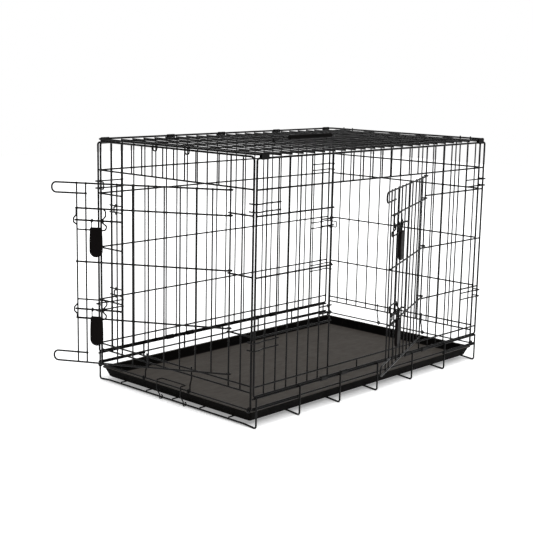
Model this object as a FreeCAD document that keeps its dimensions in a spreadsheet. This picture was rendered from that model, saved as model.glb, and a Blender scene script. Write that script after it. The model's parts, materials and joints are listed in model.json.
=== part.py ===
# Folding wire dog crate: a welded wire base basket with a slide-out pan, two long side
# panels, two end panels, a lift-up roof, an end door, a side door and their slide latches.
#
# World frame: +X along the crate towards the closed end, +Y towards the back, +Z up.
# The origin is the centre of the base on the floor. All sizes are millimetres.
#
# Flat panels and doors are built in a frame of their own and then placed:
#   a panel frame has X along the panel, Y towards the inside of the crate and Z up;
#   a door frame has X from the hinge to the latch edge, Y outwards and Z up.

import FreeCAD, Part

import math
import os
import re
from types import SimpleNamespace

import Sketcher

Vector = FreeCAD.Vector
Rotation = FreeCAD.Rotation
Placement = FreeCAD.Placement

SIZES = [
    # wire diameters
    ("frame_wire", 5.0),
    ("rail_wire", 4.2),
    ("rod_wire", 3.6),
    ("hanger_wire", 2.6),
    ("hinge_wire", 4.0),
    ("latch_wire", 3.6),
    ("cross_wire", 4.5),
    ("end_wire", 4.0),
    ("floor_wire", 3.5),
    ("stop_wire", 3.0),
    ("bolt_wire", 4.5),
    # gaps
    ("weld_gap", 0.02),
    ("hinge_play", 0.4),
    # panels
    ("long_pitch", 38.1),
    ("long_bays", 24),
    ("end_pitch", 38.85),
    ("right_pitch", 38.2),
    ("end_bays", 14),
    ("crate_width", 563.0),
    ("long_bottom", 77.7),
    ("long_top", 624.4),
    ("end_bottom", 85.0),
    ("end_top", 627.6),
    ("roof_level", 633.4),
    ("long_bend", 5.5),
    ("end_bend", 10.0),
    ("roof_bend", 12.0),
    ("end_inset", 0.6),
    ("sill_level", 100.0),
    ("low_level", 217.0),
    ("middle_level", 355.0),
    ("high_level", 495.0),
    ("lintel_level", 554.5),
    ("opening_bays", 10),
    # base
    ("side_rail_level", 72.6),
    ("lower_rail_level", 49.77),
    ("end_wire_level", 45.5),
    ("end_wire_leg", 160.0),
    ("cross_wire_level", 5.0),
    ("cross_pitch", 150.6),
    ("floor_pitch", 99.0),
    # doors
    ("door_depth", 376.0),
    ("prong_reach", 437.0),
    ("prong_drop", 24.0),
    ("door_bottom", 114.0),
    ("door_low", 223.5),
    ("door_middle", 360.0),
    ("door_high", 488.0),
    ("door_top", 547.0),
    ("upper_guide", 437.0),
    ("lower_guide", 269.0),
    ("end_door_angle", 29.7),
    ("side_door_angle", 23.4),
    # latches
    ("upper_bolt", 460.0),
    ("lower_bolt", 246.0),
    ("bolt_start", 262.0),
    ("bolt_end", 378.0),
    ("inner_guide", 300.5),
    ("outer_guide", 374.5),
    ("hanger_place", 322.5),
    ("hanger_spread", 12.5),
    ("paddle_width", 32.0),
    ("paddle_height", 71.0),
    ("paddle_thick", 7.4),
    ("paddle_setback", 1.9),
    # pan
    ("pan_rim_length", 918.0),
    ("pan_rim_width", 550.0),
    ("pan_floor_length", 888.0),
    ("pan_floor_width", 517.0),
    ("pan_bottom", 11.2),
    ("pan_rim", 37.7),
    ("pan_wall", 2.4),
    ("pan_lip", 5.0),
    ("pan_corner", 7.0),
    # carry handle
    ("grip_length", 170.0),
    ("grip_thick", 13.0),
    ("handle_reach", 36.0),
    # hinge and hook clips
    ("clip_length", 24.0),
    ("clip_thick", 1.0),
]

doc = FreeCAD.newDocument("WireDogCrate")
sheet = doc.addObject("Spreadsheet::Sheet", "Sizes")
for row, (alias, number) in enumerate(SIZES, start=1):
    sheet.set(f"A{row}", alias)
    sheet.set(f"B{row}", str(number))
    sheet.setAlias(f"B{row}", alias)
doc.recompute()
size = SimpleNamespace(**{alias: float(sheet.get(alias)) for alias, _ in SIZES})
ALIASES = {alias for alias, _ in SIZES}

half_length = size.long_pitch * size.long_bays / 2
half_width = size.crate_width / 2
end_axis = (size.frame_wire + size.end_wire) / 2 + size.hinge_play

nodes = []


# ---------------------------------------------------------------- building blocks


def bind(item, name, formula):
    """Tie a property to the sheet. The words of the formula that are aliases become cells."""
    text = re.sub(r"[a-z_]+", lambda m: f"Sizes.{m[0]}" if m[0] in ALIASES else m[0], formula)
    item.setExpression(name, text)


AXIS_TURN = {
    "X": Rotation(Vector(0, 1, 0), 90),
    "Y": Rotation(Vector(1, 0, 0), -90),
    "Z": Rotation(),
}


def rod(along, wire, length, x="0", y="0", z="0"):
    """A straight round wire that starts at x, y, z and runs along one axis."""
    item = doc.addObject("Part::Cylinder", "Rod")
    item.Placement = Placement(Vector(), AXIS_TURN[along])
    bind(item, "Radius", f"{wire} / 2")
    bind(item, "Height", length)
    for name, formula in zip("xyz", (x, y, z)):
        bind(item, f"Placement.Base.{name}", formula)
    return item


def corner(before, at, after, bend):
    """The start, middle and end of the arc that rounds one corner of a wire."""
    into = (before - at).normalize()
    out = (after - at).normalize()
    half = into.getAngle(out) / 2
    run = bend / math.tan(half)
    middle = at + (into + out).normalize() * (bend / math.sin(half) - bend)
    return at + into * run, middle, at + out * run


def wire_path(points, bend, closed=False):
    """Straight runs through the points, joined by tangent arcs.

    bend is one radius for every corner, or a list with one for each point.
    """
    points = [Vector(*p) for p in points]
    count = len(points)
    turns = range(count) if closed else range(1, count - 1)
    bends = bend if isinstance(bend, list) else [bend] * count
    arcs = [corner(points[i - 1], points[i], points[(i + 1) % count], bends[i]) for i in turns]
    edges = []
    here = arcs[-1][2] if closed else points[0]
    for start, middle, end in arcs:
        if start.distanceToPoint(here) > 1e-6:
            edges.append(Part.makeLine(here, start))
        edges.append(Part.Arc(start, middle, end).toShape())
        here = end
    if not closed:
        edges.append(Part.makeLine(here, points[-1]))
    return edges


def eye_path(centre, radius, heading, side):
    """Three quarters of a ring about a hinge wire, ending where a run leaves along heading.

    heading is the direction of the run and side the direction from the ring's centre to
    the point where the run begins.
    """
    sweep = 265.0

    def at(angle):
        turn = math.radians(angle)
        return centre + side * (radius * math.cos(turn)) - heading * (radius * math.sin(turn))

    return [Part.Arc(at(sweep), at(sweep / 2), at(0)).toShape()]


def swept(edges, wire):
    """A round wire of the given diameter along connected edges."""
    spine = Part.Wire(Part.__sortEdges__(edges))
    first = spine.OrderedEdges[0]
    start = first.valueAt(first.FirstParameter)
    tangent = first.tangentAt(first.FirstParameter)
    if first.Orientation == "Reversed":
        start = first.valueAt(first.LastParameter)
        tangent = first.tangentAt(first.LastParameter) * -1
    profile = Part.Wire([Part.Circle(start, tangent, wire / 2).toShape()])
    solid = spine.makePipeShell([profile], True, False)
    if solid.Volume < 0:
        solid.reverse()
    return solid


def feature(shape, name="Wire"):
    """A bent piece, which has no sketch or primitive of its own."""
    item = doc.addObject("Part::Feature", name)
    item.Shape = shape
    return item


def bent(points, wire, bend, closed=False):
    return feature(swept(wire_path(points, bend, closed), wire))


def end_arch(half, high):
    """An end panel's frame: an arch whose feet curl round the base's end wire."""
    layer = 0.0
    foot = size.end_wire_level
    points = [(-half, layer, foot), (-half, layer, high), (half, layer, high), (half, layer, foot)]
    edges = wire_path(points, size.end_bend)
    for x in (-half, half):
        centre = Vector(x, -end_axis, foot)
        edges += eye_path(centre, end_axis, Vector(0, 0, 1), Vector(0, 1, 0))
    return feature(swept(edges, size.frame_wire))


def ring(half, low, high, wire, bend):
    """A rectangular frame of one bent wire, standing in the XZ plane."""
    corners = [(-half, 0, low), (half, 0, low), (half, 0, high), (-half, 0, high)]
    return bent(corners, wire, bend, closed=True)


def node(name, items, place=None):
    """One named piece of the crate: its solids together, put where they belong."""
    if len(items) == 1 and place is None:
        group = items[0]
    else:
        group = doc.addObject("Part::Compound", name)
        group.Links = items
    group.Label = name
    if place is not None:
        group.Placement = place
    nodes.append(group)
    return group


def turned(x, y, degrees):
    return Placement(Vector(x, y, 0), Rotation(Vector(0, 0, 1), degrees))


FRONT = turned(0, -half_width, 0)
BACK = turned(0, half_width, 180)
LEFT = turned(size.end_inset - half_length, 0, -90)
RIGHT = turned(half_length - size.end_inset, 0, 90)

# Layers of a panel, along its own Y. The frame is at 0; upright rods and the uprights
# beside a door opening are welded to its inner side, and cross rails lie against them.
ROD_LAYER = "(frame_wire + rod_wire) / 2 + weld_gap"
UPRIGHT_LAYER = "(frame_wire + hinge_wire) / 2 + weld_gap"
RAIL_LAYER = "frame_wire / 2 - rail_wire / 2"
TAB_LAYER = "frame_wire / 2 - rod_wire / 2"
upright_layer = (size.frame_wire + size.hinge_wire) / 2 + size.weld_gap
tab_layer = (size.frame_wire - size.rod_wire) / 2

# Layers of a door, outwards from its hinge. Its rails curl round the hinge upright, its
# upright rods are inside them, and the bolts and their guides are outside.
eye_radius = (size.hinge_wire + size.rail_wire) / 2 + size.hinge_play
RAILS_AT = "(hinge_wire + rail_wire) / 2 + hinge_play"
DOOR_RODS = f"{RAILS_AT} - (rail_wire + rod_wire) / 2 - weld_gap"
on_rods = eye_radius - (size.rail_wire - size.rod_wire) / 2
bolt_layer = eye_radius + (size.rail_wire + size.rod_wire) / 2 + size.weld_gap
hang = (size.bolt_wire + size.hanger_wire) / 2 + size.hinge_play
over_bolt = (size.bolt_wire + size.rod_wire) / 2 + size.hinge_play


# ---------------------------------------------------------------- panels


def panel(name, place, kind, has_door):
    """A long or end panel: frame, upright rods and cross rails, with or without a doorway."""
    pitch = "right_pitch" if name == "right_end" else f"{kind}_pitch"
    bays = int(size.long_bays if kind == "long" else size.end_bays)
    edge = bays / 2 * getattr(size, pitch)
    low = size.long_bottom if kind == "long" else size.end_bottom
    high = size.long_top if kind == "long" else size.end_top
    if kind == "long":
        frame = ring(edge, low, high, size.frame_wire, size.long_bend)
    else:
        frame = end_arch(edge, high)
    node(f"{name}_frame", [frame], place)

    side = int(size.opening_bays / 2)
    inner = range(1 - bays // 2, bays // 2)
    full = [k for k in inner if not has_door or abs(k) > side]
    height = f"{kind}_top - {kind}_bottom"
    foot = f"{kind}_bottom"
    rods = [rod("Z", "rod_wire", height, f"{k} * {pitch}", ROD_LAYER, foot) for k in full]
    if has_door:
        short = f"{kind}_top - lintel_level"
        for k in range(1 - side, side):
            rods.append(rod("Z", "rod_wire", short, f"{k} * {pitch}", ROD_LAYER, "lintel_level"))
    if name == "front_panel":
        short = "sill_level - long_bottom"
        for k in (-2, 2):
            rods.append(rod("Z", "rod_wire", short, f"{k} * {pitch}", ROD_LAYER, foot))
    node(f"{name}_rods", rods, place)

    reach = f"({kind}_bays * {pitch} / 2 - frame_wire / 2 - weld_gap)"
    whole = ["sill_level", "lintel_level"]
    if kind == "end":
        whole.append("end_bottom")
    parts = ["low_level", "middle_level", "high_level"]
    if not has_door:
        whole, parts = whole + parts, []
    start = f"-{reach}"
    rails = [rod("X", "rail_wire", f"2 * {reach}", start, RAIL_LAYER, level) for level in whole]
    for level in parts:
        jamb = f"(opening_bays * {pitch} / 2 - hinge_wire / 2)"
        rails.append(rod("X", "rail_wire", f"{reach} - {jamb}", start, RAIL_LAYER, level))
        rails.append(rod("X", "rail_wire", f"{reach} - {jamb}", jamb, RAIL_LAYER, level))
    node(f"{name}_rails", rails, place)

    if has_door:
        jambs = [
            rod("Z", "hinge_wire", height, f"{k} * {pitch}", UPRIGHT_LAYER, f"{kind}_bottom")
            for k in (-side, side)
        ]
        node(f"{name}_door_uprights", jambs, place)


# The level of each bolt, and of the top and the foot of the wire loop that guides it.
LATCHES = {
    "upper": (size.upper_bolt, size.door_high, size.upper_guide),
    "lower": (size.lower_bolt, size.lower_guide, size.door_low),
}


def door_catches(name, place, opening_edge, step):
    """Two keepers on a panel that take the ends of the latch bolts.

    step is +1 or -1: the way from the opening's edge towards the next upright rod.
    """
    items = []
    out = tab_layer - size.rod_wire - size.weld_gap
    bulge = upright_layer - bolt_layer - over_bolt
    for level, _, _ in LATCHES.values():
        top = level + 9.0
        low = level - 8.0
        start = opening_edge - 4.0 if step > 0 else opening_edge - size.end_pitch - 4.0
        for z in (top, low):
            items.append(rod("X", "rod_wire", "long_pitch + 8", f"{start}", TAB_LAYER, f"{z}"))
        x = opening_edge + step * 15.0
        points = [
            (x, out, top + 5),
            (x, out, top - 2),
            (x, bulge, top - 2),
            (x, bulge, low + 2),
            (x, out, low + 2),
            (x, out, low - 5),
        ]
        items.append(bent(points, size.rod_wire, 2.0))
    node(name, items, place)


panel("front_panel", FRONT, "long", True)
panel("back_panel", BACK, "long", False)
panel("left_end", LEFT, "end", True)
panel("right_end", RIGHT, "end", False)

front_jamb = size.opening_bays * size.long_pitch / 2
end_jamb = size.opening_bays * size.end_pitch / 2
door_catches("front_panel_catches", FRONT, -front_jamb, -1)
door_catches("left_end_catches", LEFT, -end_jamb, -1)


LOCK_GAP = 18.0


def lock_arm(side, z, tip):
    """The path of one lock wire from its weld, past the frame and round the corner."""
    outside = -(size.frame_wire + size.rod_wire) / 2 - size.weld_gap
    past = half_length + size.frame_wire / 2 + size.rod_wire / 2 + 2.5
    return [
        (side * (half_length - 2 * size.long_pitch - 5.0), tab_layer, z),
        (side * (half_length - 28), tab_layer, z),
        (side * (half_length - 12), outside, z),
        (side * past, outside, z),
        (side * past, tip, z),
    ]


def corner_locks(name, place, locks):
    """Wires on a long panel that reach round its ends and hold the end panels in.

    Each lock is (side, level, closed). Its two arms turn in front of the end panel, and
    those of a closed lock are one wire whose tip is a round loop.
    """
    items = []
    for side, level, closed in locks:
        high = level + LOCK_GAP / 2
        low = level - LOCK_GAP / 2
        if closed:
            points = lock_arm(side, high, 30.0) + lock_arm(side, low, 30.0)[::-1]
            items.append(bent(points, size.rod_wire, 3.0))
        else:
            items += [bent(lock_arm(side, z, 16.0), size.rod_wire, 3.0) for z in (high, low)]
    node(name, items, place)


FRONT_LOCKS = [(-1, 514.0, False), (-1, 196.0, False), (1, 514.0, False), (1, 196.0, False)]
BACK_LOCKS = [
    (-1, 514.0, False),
    (-1, 332.0, True),
    (-1, 196.0, False),
    (1, 517.0, True),
    (1, 196.0, False),
]
corner_locks("front_corner_locks", FRONT, FRONT_LOCKS)
corner_locks("back_corner_locks", BACK, BACK_LOCKS)


def hinge_loops(name, place):
    """Wires welded to an end panel's low rails whose curled ends turn on the base's end wire."""
    layer = (size.frame_wire + size.rod_wire) / 2 + size.weld_gap
    radius = (size.end_wire + size.rod_wire) / 2 + size.hinge_play
    foot = size.end_wire_level
    low = radius - end_axis
    items = []
    for x in (-97.0, 68.0):
        points = [
            (x, low, foot),
            (x, low, foot + 14),
            (x, layer, foot + 30),
            (x, layer, size.sill_level + 6),
        ]
        edges = wire_path(points, 5.0)
        edges += eye_path(Vector(x, -end_axis, foot), radius, Vector(0, 0, 1), Vector(0, 1, 0))
        items.append(feature(swept(edges, size.rod_wire)))
    node(name, items, place)


hinge_loops("left_end_hinge_loops", LEFT)
hinge_loops("right_end_hinge_loops", RIGHT)


# ---------------------------------------------------------------- base basket


def base():
    """The basket that everything stands in: side rails, bent cross wires and floor wires."""
    reach = "(long_bays * long_pitch / 2 + frame_wire / 2)"
    rails = []
    for side in ("-crate_width / 2", "crate_width / 2"):
        rails.append(rod("X", "frame_wire", f"2 * {reach}", f"-{reach}", side, "side_rail_level"))
        rails.append(rod("X", "cross_wire", f"2 * {reach}", f"-{reach}", side, "lower_rail_level"))
    node("base_side_rails", rails)

    leg = half_width + (size.frame_wire + size.cross_wire) / 2 + size.weld_gap
    bend = 6.0
    rise = math.atan2(size.cross_wire_level, 60.0)
    foot = size.cross_wire / 2 - bend * ((1 + math.sin(rise)) / math.cos(rise) - 1)
    top = size.side_rail_level + size.frame_wire / 2
    run_out = leg - (size.cross_wire_level - foot) / math.tan(rise)
    profile = [(leg, top), (leg, foot), (run_out, size.cross_wire_level)]
    crosses = []
    for k in range(-3, 4):
        x = k * size.cross_pitch
        points = [(x, y, z) for y, z in profile] + [(x, -y, z) for y, z in profile[::-1]]
        crosses.append(bent(points, size.cross_wire, bend))
    node("base_cross_wires", crosses)

    out = half_length - size.end_inset + end_axis
    ends = []
    for side in (-1, 1):
        tip = side * out
        tail = side * (out - size.end_wire_leg)
        across = ((tail, -half_width), (tip, -half_width), (tip, half_width), (tail, half_width))
        points = [(x, y, size.end_wire_level) for x, y in across]
        ends.append(bent(points, size.end_wire, 7.0))
    node("base_end_wires", ends)

    level = "cross_wire_level + (cross_wire + floor_wire) / 2 + weld_gap"
    reach = "(3 * cross_pitch + 1)"
    floors = [
        rod("X", "floor_wire", f"2 * {reach}", f"-{reach}", f"{k} * floor_pitch", level)
        for k in range(-2, 3)
    ]
    node("base_floor_wires", floors)


base()


def clip_band(x, y, low, high, inner, opened):
    """A strip of sheet metal folded round two wires that lie one above the other.

    An opened clip is an upside-down U, which lifts off its lower wire.
    """
    length = size.clip_length
    start = x - length / 2
    foot = low - 3.0 if opened else low

    def filled(radius):
        """The strip's outline at one radius, without its hollow."""
        along = Vector(1, 0, 0)
        shape = Part.makeBox(length, 2 * radius, high - foot, Vector(start, y - radius, foot))
        shape = shape.fuse(Part.makeCylinder(radius, length, Vector(start, y, high), along))
        if not opened:
            shape = shape.fuse(Part.makeCylinder(radius, length, Vector(start, y, low), along))
        return shape

    return feature(filled(inner + size.clip_thick).cut(filled(inner)).removeSplitter())


def clips(name, places, y, low, high, opened=False):
    inner = size.frame_wire / 2 + size.hinge_play
    items = [clip_band(x, y, low, high, inner, opened) for x in places]
    node(name, items)


bay = size.long_pitch
foot_clips = [k * bay for k in (-5.5, -3.5, 3.5, 5.5)]
roof_hinges = [k * bay for k in (-11.4, -5.5, -0.5, 5.5, 11.4)]
roof_hooks = [k * bay for k in (-11.4, 11.4)]
clips("front_base_clips", foot_clips, -half_width, size.side_rail_level, size.long_bottom)
clips("back_base_clips", foot_clips, half_width, size.side_rail_level, size.long_bottom)
clips("roof_hinge_clips", roof_hinges, half_width, size.long_top, size.roof_level)
clips("roof_hook_clips", roof_hooks, -half_width, size.long_top, size.roof_level, True)


# ---------------------------------------------------------------- roof


def roof():
    """The lift-up roof: a frame lying flat, rods across it and rails along it."""
    corners = [
        (-half_length, -half_width, size.roof_level),
        (half_length, -half_width, size.roof_level),
        (half_length, half_width, size.roof_level),
        (-half_length, half_width, size.roof_level),
    ]
    node("roof_frame", [bent(corners, size.frame_wire, size.roof_bend, closed=True)])
    last = int(size.long_bays / 2)
    level = "roof_level - (frame_wire + rod_wire) / 2 - weld_gap"
    rods = [
        rod("Y", "rod_wire", "crate_width", f"{k} * long_pitch", "-crate_width / 2", level)
        for k in range(1 - last, last)
    ]
    node("roof_rods", rods)
    reach = "(long_bays * long_pitch / 2 - frame_wire / 2 - weld_gap)"
    level = "roof_level + frame_wire / 2 - rail_wire / 2"
    rails = [
        rod("X", "rail_wire", f"2 * {reach}", f"-{reach}", f"{k} * crate_width / 6", level)
        for k in range(-2, 3)
    ]
    node("roof_rails", rails)


def roof_end_catches():
    """Wire loops on the roof's end frames that hang down outside the end panels."""
    x = half_length + (size.frame_wire + size.rod_wire) / 2 + size.weld_gap
    catches = [
        (-x, -57.0, 7.0, 9.0),
        (-x, 57.0, 7.0, 9.0),
        (x, -214.0, 17.0, 4.0),
        (x, 214.0, 17.0, 4.0),
    ]
    items = []
    for x, y, half, drop in catches:
        top = size.roof_level + 4.5
        low = size.end_top - drop
        points = [(x, y - half, top), (x, y - half, low), (x, y + half, low), (x, y + half, top)]
        items.append(bent(points, size.rod_wire, 5.0))
    node("roof_end_catches", items)


roof()
roof_end_catches()

handle_axis = size.roof_level + (size.frame_wire - size.rail_wire) / 2


def carry_handle():
    """A wire bail that turns on the roof's middle rail and carries a moulded grip."""
    wire = size.latch_wire
    radius = (size.rail_wire + wire) / 2 + size.hinge_play
    level = handle_axis + size.rail_wire / 2 + size.grip_thick / 2 + 0.8
    across = 2.7 * size.long_pitch
    top = handle_axis + radius
    points = [
        (-across, 0, top),
        (-across, -13, top),
        (-across, -size.handle_reach, level),
        (across, -size.handle_reach, level),
        (across, -13, top),
        (across, 0, top),
    ]
    edges = wire_path(points, 7.0)
    ahead = Vector(0, -1, 0)
    up = Vector(0, 0, 1)
    for x in (-across, across):
        edges += eye_path(Vector(x, 0, handle_axis), radius, ahead, up)
    node("carry_handle_bail", [feature(swept(edges, wire))])

    body = doc.addObject("PartDesign::Body", "GripBody")
    plane = next(f for f in body.Origin.OriginFeatures if f.Role == "YZ_Plane")
    outline = body.newObject("Sketcher::SketchObject", "GripOutline")
    outline.AttachmentSupport = [(plane, "")]
    outline.MapMode = "FlatFace"
    outline.AttachmentOffset = Placement(Vector(0, 0, 0), Rotation())
    outer = outline.addGeometry(Part.Circle(Vector(0, 0, 0), Vector(0, 0, 1), 7))
    inner = outline.addGeometry(Part.Circle(Vector(0, 0, 0), Vector(0, 0, 1), 2))
    for circle, formula in ((outer, "grip_thick / 2"), (inner, "latch_wire / 2 + weld_gap")):
        outline.addConstraint(Sketcher.Constraint("Coincident", circle, 3, -1, 1))
        radius_row = outline.addConstraint(Sketcher.Constraint("Radius", circle, 5.0))
        bind(outline, f"Constraints[{radius_row}]", formula)
    grip = body.newObject("PartDesign::Pad", "Grip")
    grip.Profile = outline
    grip.Midplane = True
    bind(grip, "Length", "grip_length")
    doc.recompute()
    soft = body.newObject("PartDesign::Fillet", "GripEnds")
    round_rim = math.pi * size.grip_thick
    edges = enumerate(grip.Shape.Edges, start=1)
    soft.Base = (grip, [f"Edge{i}" for i, e in edges if abs(e.Length - round_rim) < 1])
    soft.Radius = 4.0
    body.Placement = Placement(Vector(0, -size.handle_reach, level), Rotation())
    body.Label = "carry_handle_grip"
    nodes.append(body)


carry_handle()


# ---------------------------------------------------------------- doors

end_hinge = size.end_inset - half_length + upright_layer
side_hinge = upright_layer - half_width
DOORS = {
    "end_door": turned(end_hinge, -end_jamb, 90 + size.end_door_angle),
    "side_door": turned(front_jamb, side_hinge, 180 + size.side_door_angle),
}


def door(name, place, pitch):
    """A door leaf: rails curled round the hinge upright, upright rods and two pronged rails."""
    out = Vector(0, 1, 0)
    ahead = Vector(1, 0, 0)

    def eye(z):
        return eye_path(Vector(0, 0, z), eye_radius, ahead, out)

    rails = []
    for z in (size.door_low, size.door_middle, size.door_high):
        start = Vector(0, eye_radius, z)
        edges = eye(z) + [Part.makeLine(start, Vector(size.door_depth + 2, eye_radius, z))]
        rails.append(feature(swept(edges, size.rail_wire)))
    node(f"{name}_rails", rails, place)

    prongs = []
    for z, drop in ((size.door_top, -size.prong_drop), (size.door_bottom, size.prong_drop)):
        points = [
            (0, eye_radius, z),
            (size.prong_reach, eye_radius, z),
            (size.prong_reach, eye_radius, z + drop),
            (size.door_depth - 27, eye_radius, z + drop),
        ]
        prongs.append(feature(swept(eye(z) + wire_path(points, 11.0), size.rail_wire)))
    node(f"{name}_prong_rails", prongs, place)

    foot = "door_bottom - rail_wire / 2"
    tall = "door_top - door_bottom + rail_wire"
    places = [f"{k} * {pitch} + 3.5" for k in range(1, 10)] + ["door_depth"]
    rods = [rod("Z", "rod_wire", tall, x, DOOR_RODS, foot) for x in places]
    node(f"{name}_rods", rods, place)


def bolt_guides(name, place):
    """A wire loop for each bolt. Both its sides bulge outwards and let the bolt through.

    One of its long edges is welded on a door rail and the other on the upright rods.
    """
    loops = []
    out = bolt_layer + over_bolt
    for which, (level, top, foot) in LATCHES.items():
        top_y, foot_y = (bolt_layer, on_rods) if which == "upper" else (on_rods, bolt_layer)
        side = [
            (0, top_y, level + 12),
            (5, out, level + 4.5),
            (5, out, level - 4.5),
            (0, foot_y, level - 12),
        ]
        near = [(size.inner_guide + dx, y, z) for dx, y, z in side]
        far = [(size.outer_guide + dx, y, z) for dx, y, z in side[::-1]]
        points = [(size.inner_guide, top_y, top), *near, (size.inner_guide, foot_y, foot)]
        points += [(size.outer_guide, foot_y, foot), *far, (size.outer_guide, top_y, top)]
        bends = [8.0] + [3.0] * 4 + [8.0, 4.0] + [3.0] * 4 + [4.0]
        loops.append(bent(points, size.rod_wire, bends, closed=True))
    node(name, loops, place)


def bolt(name, place, level):
    """A sliding bolt whose inner end is turned outwards."""
    points = [
        (size.bolt_start, bolt_layer + 6.5, level),
        (size.bolt_start, bolt_layer, level),
        (size.bolt_end, bolt_layer, level),
    ]
    node(name, [bent(points, size.bolt_wire, 2.6)], place)


def hanger(name, place, level):
    """The two wires that hang a paddle from its bolt."""
    down = Vector(0, 0, -1)
    outwards = Vector(0, 1, 0)
    legs = []
    for side in (-1, 1):
        centre = Vector(size.hanger_place + side * size.hanger_spread, bolt_layer, level)
        edges = eye_path(centre, hang, down, outwards)
        start = centre + outwards * hang
        edges.append(Part.makeLine(start, start + down * 38))
        legs.append(feature(swept(edges, size.hanger_wire)))
    node(name, legs, place)


def paddle(name, place, level):
    """The moulded finger paddle: rounded at its foot, with a hole for each hanger wire."""
    body = doc.addObject("PartDesign::Body", f"{name}_body")
    origin = {f.Role: f for f in body.Origin.OriginFeatures}
    face = body.newObject("Sketcher::SketchObject", f"{name}_face")
    face.AttachmentSupport = [(origin["XZ_Plane"], "")]
    face.MapMode = "FlatFace"
    face.AttachmentOffset = Placement(Vector(0, 0, -size.paddle_setback), Rotation())
    half = size.paddle_width / 2
    foot = -size.paddle_height + half
    cut = 2.5
    narrow = half - 1.3
    right = [(narrow - cut, 0), (narrow, -cut), (half, -size.paddle_height * 0.45), (half, foot)]
    outline = [(-x, z) for x, z in right[::-1]] + right
    for (x0, z0), (x1, z1) in zip(outline, outline[1:]):
        face.addGeometry(Part.LineSegment(Vector(x0, z0, 0), Vector(x1, z1, 0)))
    ends = (Vector(half, foot, 0), Vector(0, foot - half, 0), Vector(-half, foot, 0))
    face.addGeometry(Part.Arc(*ends))
    pad = body.newObject("PartDesign::Pad", f"{name}_pad")
    pad.Profile = face
    pad.Midplane = True
    bind(pad, "Length", "paddle_thick")
    doc.recompute()
    soft = body.newObject("PartDesign::Fillet", f"{name}_edges")
    deep = size.paddle_thick / 2
    edges = enumerate(pad.Shape.Edges, start=1)
    flat = [i for i, e in edges if abs(abs(e.CenterOfMass.y - size.paddle_setback) - deep) < 0.1]
    soft.Base = (pad, [f"Edge{i}" for i in flat])
    soft.Radius = 2.0
    doc.recompute()
    holes = body.newObject("Sketcher::SketchObject", f"{name}_holes")
    holes.AttachmentSupport = [(origin["XY_Plane"], "")]
    holes.MapMode = "FlatFace"
    for side in (-1, 1):
        centre = Vector(side * size.hanger_spread, 0, 0)
        circle = holes.addGeometry(Part.Circle(centre, Vector(0, 0, 1), 1.5))
        row = holes.addConstraint(Sketcher.Constraint("Radius", circle, 1.5))
        bind(holes, f"Constraints[{row}]", "hanger_wire / 2 + weld_gap")
    pocket = body.newObject("PartDesign::Pocket", f"{name}_pocket")
    pocket.Profile = holes
    pocket.Length = 24.0
    pocket.Reversed = False
    doc.recompute()
    if abs(pocket.Shape.Volume - soft.Shape.Volume) < 1.0:
        pocket.Reversed = True
        doc.recompute()
    top = level - 15.0
    inside = Placement(Vector(size.hanger_place, bolt_layer + hang, top), Rotation())
    body.Placement = place.multiply(inside)
    body.Label = name
    nodes.append(body)


for door_name, door_place in DOORS.items():
    door(door_name, door_place, "long_pitch" if door_name == "side_door" else "end_pitch")
    bolt_guides(f"{door_name}_bolt_guides", door_place)
    for which, (bolt_level, _, _) in LATCHES.items():
        bolt(f"{door_name}_{which}_bolt", door_place, bolt_level)
        hanger(f"{door_name}_{which}_hanger", door_place, bolt_level)
        paddle(f"{door_name}_{which}_paddle", door_place, bolt_level)


# ---------------------------------------------------------------- pan and pan stop


def rounded(length, width, radius, z):
    """A rounded rectangle as a closed wire at height z, centred on the origin."""
    corners = [
        (-length / 2, -width / 2, z),
        (length / 2, -width / 2, z),
        (length / 2, width / 2, z),
        (-length / 2, width / 2, z),
    ]
    return Part.Wire(Part.__sortEdges__(wire_path(corners, radius, closed=True)))


def pan():
    """The slide-out pan: a flat floor inside sloping walls with an outward lip."""
    wall = size.pan_wall
    low, high = size.pan_bottom, size.pan_rim
    top_length = size.pan_rim_length - 2 * size.pan_lip
    top_width = size.pan_rim_width - 2 * size.pan_lip

    def outline(z, inset):
        """The wall's outer face at height z, moved inwards."""
        part = (z - low) / (high - low)
        length = size.pan_floor_length + part * (top_length - size.pan_floor_length)
        width = size.pan_floor_width + part * (top_width - size.pan_floor_width)
        return rounded(length - 2 * inset, width - 2 * inset, size.pan_corner - inset, z)

    def between(start, end, inset):
        return Part.makeLoft([outline(start, inset), outline(end, inset)], True, True)

    node("pan_floor", [feature(between(low, low + wall, wall + size.weld_gap), "PanFloor")])

    # The walls and the lip are in four lengths each, mitred at the corners.
    hollow = between(low - 1, high + 1, wall)
    under = high - wall - size.weld_gap
    edge = size.pan_corner + size.pan_lip
    lip = Part.Face(rounded(size.pan_rim_length, size.pan_rim_width, edge, high - wall))
    mitres = []
    for x, y in ((-1, -1), (1, -1), (1, 1), (-1, 1)):
        cut = Part.makeBox(90, size.weld_gap, 60, Vector(-45, -size.weld_gap / 2, 0))
        cut.rotate(Vector(0, 0, 0), Vector(0, 0, 1), 45 * x * y)
        cut.translate(Vector(x * (top_length / 2 - 4), y * (top_width / 2 - 4), low - 5))
        mitres.append(cut)
    walls = between(low, under, 0).cut(hollow).cut(mitres)
    lips = lip.extrude(Vector(0, 0, wall)).cut(hollow).cut(mitres)
    node("pan_walls", [feature(solid, "PanWall") for solid in walls.Solids])
    node("pan_lip", [feature(solid, "PanLip") for solid in lips.Solids])


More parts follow.
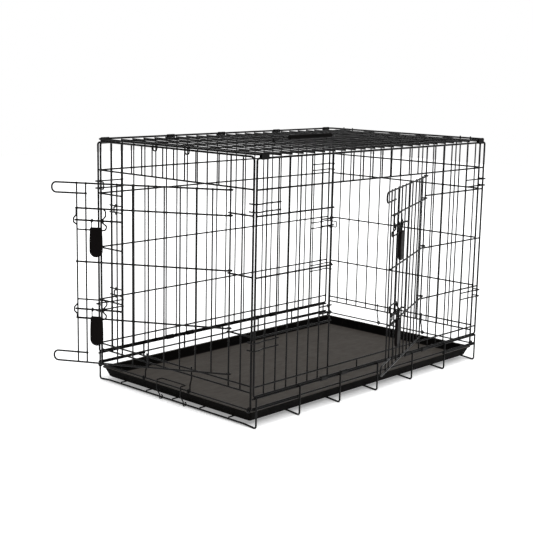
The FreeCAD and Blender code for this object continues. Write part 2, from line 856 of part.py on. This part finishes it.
def pan_stop():
    """A wire gate that turns on the foot of the end cross wire and hooks over the end wire."""
    wire = size.stop_wire
    radius = (size.cross_wire + wire) / 2 + 1.0
    pivot = size.cross_wire_level
    x = -3 * size.cross_pitch
    foot = x - radius
    out = size.end_inset - half_length - end_axis - (size.end_wire + wire) / 2 - 0.5
    over = size.end_wire_level + 7.0
    half = 43.5
    leg = [(foot, pivot), (foot, pivot + 7), (out, pivot + 22), (out, over), (x + 3, over)]
    points = [(px, -half, z) for px, z in leg] + [(px, half, z) for px, z in leg[::-1]]
    edges = wire_path(points, 2.6)
    for y in (-half, half):
        edges += eye_path(Vector(x, y, pivot), radius, Vector(0, 0, 1), Vector(-1, 0, 0))
    node("pan_stop", [feature(swept(edges, wire))])


pan()
pan_stop()


# ---------------------------------------------------------------- checks and files

doc.recompute()
for item in doc.Objects:
    if "Invalid" in item.State or "Error" in item.State:
        raise RuntimeError(f"{item.Name} failed: {item.State}")

os.makedirs("parts", exist_ok=True)
for old in os.listdir("parts"):
    if old.endswith(".step"):
        os.remove(os.path.join("parts", old))
for item in nodes:
    shape = item.Shape
    if shape.isNull() or not shape.isValid() or not shape.Solids:
        raise RuntimeError(f"{item.Label} has no valid solid")
    shape.exportStep(os.path.join("parts", f"{item.Label}.step"))
    print(f"{item.Label}: {len(shape.Solids)} solids, {shape.Volume / 1000:.1f} cm3")
print(f"{len(nodes)} nodes")
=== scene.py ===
import json
import math

import bpy
from mathutils import Matrix, Vector

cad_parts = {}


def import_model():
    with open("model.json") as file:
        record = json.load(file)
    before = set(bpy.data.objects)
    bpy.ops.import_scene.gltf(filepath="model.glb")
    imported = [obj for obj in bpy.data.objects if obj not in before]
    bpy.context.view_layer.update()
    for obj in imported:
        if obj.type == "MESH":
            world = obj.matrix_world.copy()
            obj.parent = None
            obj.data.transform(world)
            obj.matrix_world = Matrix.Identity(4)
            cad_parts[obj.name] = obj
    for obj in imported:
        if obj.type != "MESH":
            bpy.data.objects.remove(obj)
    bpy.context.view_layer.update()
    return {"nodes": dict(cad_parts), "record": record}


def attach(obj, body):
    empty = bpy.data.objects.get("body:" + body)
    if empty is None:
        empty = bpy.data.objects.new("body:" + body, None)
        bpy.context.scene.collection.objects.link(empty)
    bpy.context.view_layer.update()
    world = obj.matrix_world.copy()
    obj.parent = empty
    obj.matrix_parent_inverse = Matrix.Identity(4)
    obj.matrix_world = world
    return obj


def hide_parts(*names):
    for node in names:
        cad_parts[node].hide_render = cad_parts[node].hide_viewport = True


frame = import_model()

NODES = frame["nodes"]


# ---------------------------------------------------------------- materials


class Material:
    """A node material built up in steps on one Principled shader."""

    def __init__(self, name):
        self.mat = bpy.data.materials.new(name)
        self.mat.use_nodes = True
        self.tree = self.mat.node_tree
        self.shader = self.tree.nodes["Principled BSDF"]
        self.coords = self.add("ShaderNodeTexCoord").outputs["Object"]

    def add(self, kind, **settings):
        """A new node of a kind, with its settings."""
        item = self.tree.nodes.new(kind)
        for key, value in settings.items():
            setattr(item, key, value)
        return item

    def link(self, source, target):
        self.tree.links.new(source, target)

    def noise(self, scale, detail=4.0, rough=0.55, stretch=None):
        """Noise over the object's own space, stretched along an axis where wanted."""
        tex = self.add("ShaderNodeTexNoise")
        tex.inputs["Scale"].default_value = scale
        tex.inputs["Detail"].default_value = detail
        tex.inputs["Roughness"].default_value = rough
        source = self.coords
        if stretch:
            mapping = self.add("ShaderNodeMapping")
            mapping.inputs["Scale"].default_value = stretch
            self.link(source, mapping.inputs["Vector"])
            source = mapping.outputs["Vector"]
        self.link(source, tex.inputs["Vector"])
        return tex.outputs["Fac"]

    def ramp(self, source, low, high, start=0.0, end=1.0):
        """Maps a value to low..high between two levels of it."""
        item = self.add("ShaderNodeMapRange")
        item.inputs["From Min"].default_value = start
        item.inputs["From Max"].default_value = end
        item.inputs["To Min"].default_value = low
        item.inputs["To Max"].default_value = high
        self.link(source, item.inputs["Value"])
        return item.outputs["Result"]

    def mix(self, amount, first, second):
        """A colour between two colours, each given as plain values or a socket."""
        item = self.add("ShaderNodeMix", data_type="RGBA")
        self.link(amount, item.inputs["Factor"])
        for socket, value in ((item.inputs["A"], first), (item.inputs["B"], second)):
            if isinstance(value, tuple):
                socket.default_value = (*value, 1.0)
            else:
                self.link(value, socket)
        return item.outputs["Result"]

    def combine(self, first, second, how="MULTIPLY"):
        """Two values, each a number or a socket, multiplied or otherwise combined."""
        item = self.add("ShaderNodeMath", operation=how)
        for socket, value in zip(item.inputs, (first, second)):
            if isinstance(value, (int, float)):
                socket.default_value = value
            else:
                self.link(value, socket)
        return item.outputs["Value"]

    def facing_up(self, start=0.5, end=0.95):
        """Nought on walls and one on level tops, between two slopes of the surface."""
        geometry = self.add("ShaderNodeNewGeometry")
        split = self.add("ShaderNodeSeparateXYZ")
        self.link(geometry.outputs["Normal"], split.inputs["Vector"])
        return self.ramp(split.outputs["Z"], 0.0, 1.0, start, end)

    def bumps(self, *layers):
        """Stacks bump layers of (height source, strength, distance in metres)."""
        normal = None
        for source, strength, distance in layers:
            item = self.add("ShaderNodeBump")
            item.inputs["Strength"].default_value = strength
            item.inputs["Distance"].default_value = distance
            self.link(source, item.inputs["Height"])
            if normal is not None:
                self.link(normal, item.inputs["Normal"])
            normal = item.outputs["Normal"]
        self.link(normal, self.shader.inputs["Normal"])


DUST = (0.10, 0.092, 0.085)
RUBBED_STEEL = (0.022, 0.022, 0.023)
SCUFF_PALER = 2.4
STEEL_GLOSS, PLASTIC_GLOSS = 0.1, 0.02


def coated_wire(name, base, warm, roughness, dust):
    """Dip-coated steel: smooth and glossy, with soft runs, fine grit, dust and rubbed spots."""
    m = Material(name)
    cloud = m.noise(14.0, 3.0)
    grit = m.noise(900.0, 2.0)
    runs = m.noise(120.0, 3.0)
    rubbed = m.ramp(m.noise(55.0, 6.0, 0.7), 0.0, 1.0, 0.62, 0.72)
    colour = m.mix(m.ramp(cloud, 0.0, 1.0, 0.35, 0.65), base, warm)
    settled = m.combine(m.facing_up(), m.ramp(m.noise(35.0, 5.0), 0.0, dust, 0.4, 0.7))
    colour = m.mix(settled, colour, DUST)
    colour = m.mix(m.combine(rubbed, 0.35), colour, RUBBED_STEEL)
    m.link(colour, m.shader.inputs["Base Color"])
    gloss = m.ramp(runs, roughness - 0.06, roughness + 0.08, 0.3, 0.7)
    gloss = m.combine(gloss, m.combine(settled, 0.3), "ADD")
    gloss = m.combine(gloss, m.combine(rubbed, 0.12), "ADD")
    m.link(gloss, m.shader.inputs["Roughness"])
    m.shader.inputs["Specular IOR Level"].default_value = STEEL_GLOSS
    m.bumps((runs, 0.25, 0.0002), (grit, 0.12, 0.00005))
    return m.mat


def moulded(name, base, warm, roughness, grain, scuff, tops=None):
    """Moulded plastic: fine pebbled grain, cloudy tone and scuffs, and painted light on upward
    faces: a paler lit tone where tones for the tops are given.
    """
    m = Material(name)
    cloud = m.noise(9.0, 4.0)
    pebble = m.add("ShaderNodeTexVoronoi", feature="SMOOTH_F1")
    pebble.inputs["Scale"].default_value = grain
    m.link(m.coords, pebble.inputs["Vector"])
    scratches = m.ramp(m.noise(24.0, 8.0, 0.75, (1.0, 14.0, 1.0)), 0.0, 1.0, 0.6, 0.68)
    across = m.ramp(m.noise(20.0, 8.0, 0.75, (12.0, 1.0, 1.0)), 0.0, 1.0, 0.62, 0.7)
    marks = m.combine(scratches, across, "MAXIMUM")
    colour = m.mix(m.ramp(cloud, 0.0, 1.0, 0.3, 0.7), base, warm)
    if tops:
        # Painted light: upward faces get a paler tone, streaked between two given tones, that
        # stands in for the light falling on them.
        lit_top_streaks = m.ramp(m.noise(30.0, 6.0, 0.6, (1.0, 6.0, 1.0)), 0.0, 1.0, 0.3, 0.7)
        colour = m.mix(m.facing_up(0.8, 0.98), colour, m.mix(lit_top_streaks, *tops))
    pale = tuple(c * SCUFF_PALER for c in (tops[1] if tops else warm))
    colour = m.mix(m.combine(marks, scuff), colour, pale)
    m.link(colour, m.shader.inputs["Base Color"])
    gloss = m.ramp(m.noise(40.0, 4.0), roughness - 0.07, roughness + 0.07, 0.3, 0.7)
    gloss = m.combine(gloss, m.combine(marks, 0.1), "ADD")
    m.link(gloss, m.shader.inputs["Roughness"])
    m.shader.inputs["Specular IOR Level"].default_value = PLASTIC_GLOSS
    m.bumps((pebble.outputs["Distance"], 0.3, 0.00012), (m.noise(260.0, 3.0), 0.15, 0.00008))
    return m.mat


SLOT_MATERIALS = {
    "black_steel": coated_wire(
        "black_coated_wire",
        base=(0.0020, 0.0020, 0.0022),
        warm=(0.0040, 0.0036, 0.0034),
        roughness=0.32,
        dust=0.1,
    ),
    "clip_steel": coated_wire(
        "black_clip_steel",
        base=(0.0035, 0.0034, 0.0036),
        warm=(0.006, 0.0056, 0.0052),
        roughness=0.42,
        dust=0.15,
    ),
    "pan_plastic": moulded(
        "pan_plastic",
        base=(0.0012, 0.0010, 0.0009),
        warm=(0.0026, 0.0022, 0.0019),
        roughness=0.62,
        grain=700.0,
        scuff=0.12,
        # Painted light: paler tones for the pan's floor and lip tops, standing in for the light
        # from above.
        tops=((0.041, 0.0365, 0.0325), (0.058, 0.052, 0.046)),
    ),
    "latch_plastic": moulded(
        "latch_plastic",
        base=(0.0026, 0.0020, 0.0020),
        warm=(0.0048, 0.0038, 0.0036),
        roughness=0.45,
        grain=1400.0,
        scuff=0.25,
    ),
    "grip_plastic": moulded(
        "grip_plastic",
        base=(0.0030, 0.0028, 0.0027),
        warm=(0.0055, 0.0050, 0.0046),
        roughness=0.5,
        grain=1200.0,
        scuff=0.25,
    ),
}

for part in frame["record"]["subparts"]:
    node = NODES[part["node"]]
    node.data.materials.clear()
    node.data.materials.append(SLOT_MATERIALS[part["material_slot"]])


# ---------------------------------------------------------------- pan


# Sizes of the pan in millimetres: levels of its underside and its lip's top, length and
# width of its floor and over its lip, thickness of its walls, reach of its lip.
PAN_LOW, PAN_HIGH = 11.2, 37.7
PAN_FLOOR = (888.0, 517.0)
PAN_RIM = (918.0, 550.0)
PAN_WALL, PAN_LIP = 2.4, 5.0

# Radii of the pan's upright corners and of the edges along its section.
PAN_CORNER = 7.0
UNDER_EDGE, LIP_FILLET, INNER_EDGE, FLOOR_FILLET = 3.0, 2.0, 1.5, 4.0
SHARPEST = 0.5
CORNER_STEPS = 8
MM = 1000


def pan_ring(out, z):
    """Points round the pan at height z, at a distance outside the wall's outer face."""
    part = (z - PAN_LOW) / (PAN_HIGH - PAN_LOW)
    half = [
        (floor + part * (rim - 2 * PAN_LIP - floor)) / 2 + out
        for floor, rim in zip(PAN_FLOOR, PAN_RIM)
    ]
    radius = max(PAN_CORNER + out, SHARPEST)
    points = []
    for quarter, (x, y) in enumerate(((1, 1), (-1, 1), (-1, -1), (1, -1))):
        for step in range(CORNER_STEPS + 1):
            turn = math.radians(90 * quarter + 90 * step / CORNER_STEPS)
            along = x * (half[0] - radius) + radius * math.cos(turn)
            across = y * (half[1] - radius) + radius * math.sin(turn)
            points.append((along / MM, across / MM, z / MM))
    return points


def arc(out, z, radius, start, end, steps=5):
    """Points of the pan's section on an arc about (out, z)."""
    turns = [math.radians(start + (end - start) * k / steps) for k in range(steps + 1)]
    return [(out + radius * math.cos(t), z + radius * math.sin(t)) for t in turns]


def pan_tray():
    """The pan as one moulding: rolled lip, sloping walls and a floor with filleted edges."""
    floor, under = PAN_LOW + PAN_WALL, PAN_HIGH - PAN_WALL
    lip = PAN_WALL / 2
    # One more ring inside each flat face, so that its shading stays flat.
    section = [(-UNDER_EDGE - 1.0, PAN_LOW)]
    section += arc(-UNDER_EDGE, PAN_LOW + UNDER_EDGE, UNDER_EDGE, -90, 0)
    section += arc(LIP_FILLET, under - LIP_FILLET, LIP_FILLET, 180, 90)
    section += arc(PAN_LIP - lip, PAN_HIGH - lip, lip, -90, 90, 8)
    section += arc(INNER_EDGE - PAN_WALL, PAN_HIGH - INNER_EDGE, INNER_EDGE, 90, 180)
    section += arc(-PAN_WALL - FLOOR_FILLET, floor + FLOOR_FILLET, FLOOR_FILLET, 0, -90, 6)
    section += [(-PAN_WALL - FLOOR_FILLET - 1.0, floor)]
    rings = [pan_ring(out, z) for out, z in section]
    count = len(rings[0])
    last = (len(rings) - 1) * count
    faces = [tuple(range(count))[::-1]]
    for near in range(0, last, count):
        far = near + count
        for k in range(count):
            after = (k + 1) % count
            faces.append((near + k, near + after, far + after, far + k))
    faces.append(tuple(range(last, last + count)))
    mesh = bpy.data.meshes.new("pan_tray")
    mesh.from_pydata([point for ring in rings for point in ring], [], faces)
    for face in mesh.polygons:
        face.use_smooth = True
    mesh.materials.append(SLOT_MATERIALS["pan_plastic"])
    item = bpy.data.objects.new("pan_tray", mesh)
    bpy.context.scene.collection.objects.link(item)
    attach(item, "pan")
    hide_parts("pan_floor", "pan_walls", "pan_lip")


pan_tray()


# ---------------------------------------------------------------- stage, light and camera


FLOOR_HALF = 6.0


def floor():
    """A pale floor with a faint glow of its own, so that shadows on it stay light."""
    mesh = bpy.data.meshes.new("floor")
    corners = ((-1, -1), (1, -1), (1, 1), (-1, 1))
    mesh.from_pydata([(x * FLOOR_HALF, y * FLOOR_HALF, 0) for x, y in corners], [], [(0, 1, 2, 3)])
    item = bpy.data.objects.new("floor", mesh)
    bpy.context.scene.collection.objects.link(item)
    m = Material("pale_floor")
    m.link(m.mix(m.noise(3.0), (0.86, 0.86, 0.86), (0.9, 0.9, 0.9)), m.shader.inputs["Base Color"])
    m.shader.inputs["Roughness"].default_value = 0.85
    m.shader.inputs["Emission Color"].default_value = (1.0, 1.0, 1.0, 1.0)
    m.shader.inputs["Emission Strength"].default_value = 0.3
    mesh.materials.append(m.mat)


def area_light(name, place, target, size, power):
    """A soft box at a place, aimed at a target."""
    data = bpy.data.lights.new(name, "AREA")
    data.energy = power
    data.shape = "RECTANGLE"
    data.size, data.size_y = size
    item = bpy.data.objects.new(name, data)
    bpy.context.scene.collection.objects.link(item)
    place = Vector(place)
    aim = (Vector(target) - place).to_track_quat("-Z", "Y")
    item.matrix_world = Matrix.Translation(place) @ aim.to_matrix().to_4x4()


def world():
    """A dim even room for the light and a white backdrop behind the object."""
    sky = bpy.data.worlds.new("studio")
    bpy.context.scene.world = sky
    sky.use_nodes = True
    tree = sky.node_tree
    room = tree.nodes["Background"]
    room.inputs["Color"].default_value = (0.96, 0.98, 1.0, 1.0)
    room.inputs["Strength"].default_value = 0.3
    backdrop = tree.nodes.new("ShaderNodeBackground")
    backdrop.inputs["Color"].default_value = (1.0, 1.0, 1.0, 1.0)
    backdrop.inputs["Strength"].default_value = 1.0
    seen = tree.nodes.new("ShaderNodeLightPath")
    blend = tree.nodes.new("ShaderNodeMixShader")
    tree.links.new(seen.outputs["Is Camera Ray"], blend.inputs["Fac"])
    tree.links.new(room.outputs["Background"], blend.inputs[1])
    tree.links.new(backdrop.outputs["Background"], blend.inputs[2])
    tree.links.new(blend.outputs["Shader"], tree.nodes["World Output"].inputs["Surface"])


def sun(name, toward, strength, spread):
    """Broad light from one direction, spread over an angle in degrees."""
    data = bpy.data.lights.new(name, "SUN")
    data.energy = strength
    data.angle = math.radians(spread)
    item = bpy.data.objects.new(name, data)
    bpy.context.scene.collection.objects.link(item)
    item.rotation_euler = Vector(toward).to_track_quat("-Z", "Y").to_euler()


CAMERA_PLACE = (-2.2470, -1.9980, 0.8392)
AZIMUTH, ELEVATION, ROLL = -46.764, 10.424, 1.110
SENSOR, LENS = 36.0, 75.884


def camera():
    """A camera at a low corner view, held slightly out of level."""
    azimuth, elevation, roll = map(math.radians, (AZIMUTH, ELEVATION, ROLL))
    ahead = Vector((
        -math.sin(azimuth) * math.cos(elevation),
        math.cos(azimuth) * math.cos(elevation),
        -math.sin(elevation),
    ))
    right = ahead.cross(Vector((0, 0, 1))).normalized()
    up = right.cross(ahead)
    across = right * math.cos(roll) + up * math.sin(roll)
    upward = up * math.cos(roll) - right * math.sin(roll)
    data = bpy.data.cameras.new("camera")
    data.sensor_width = SENSOR
    data.lens = LENS
    item = bpy.data.objects.new("camera", data)
    bpy.context.scene.collection.objects.link(item)
    turn = Matrix((across, upward, -ahead)).transposed().to_4x4()
    item.matrix_world = Matrix.Translation(CAMERA_PLACE) @ turn
    bpy.context.scene.camera = item


floor()
world()
camera()
sun("overhead", (0.15, 0.25, -1.0), 3.2, 70)
area_light("key", (-1.6, -2.6, 2.8), (0, 0, 0.2), (2.6, 1.6), 20)
area_light("rim", (2.6, 2.2, 1.8), (0, 0, 0.3), (2.0, 1.6), 20)

bpy.context.scene.view_settings.view_transform = "Standard"
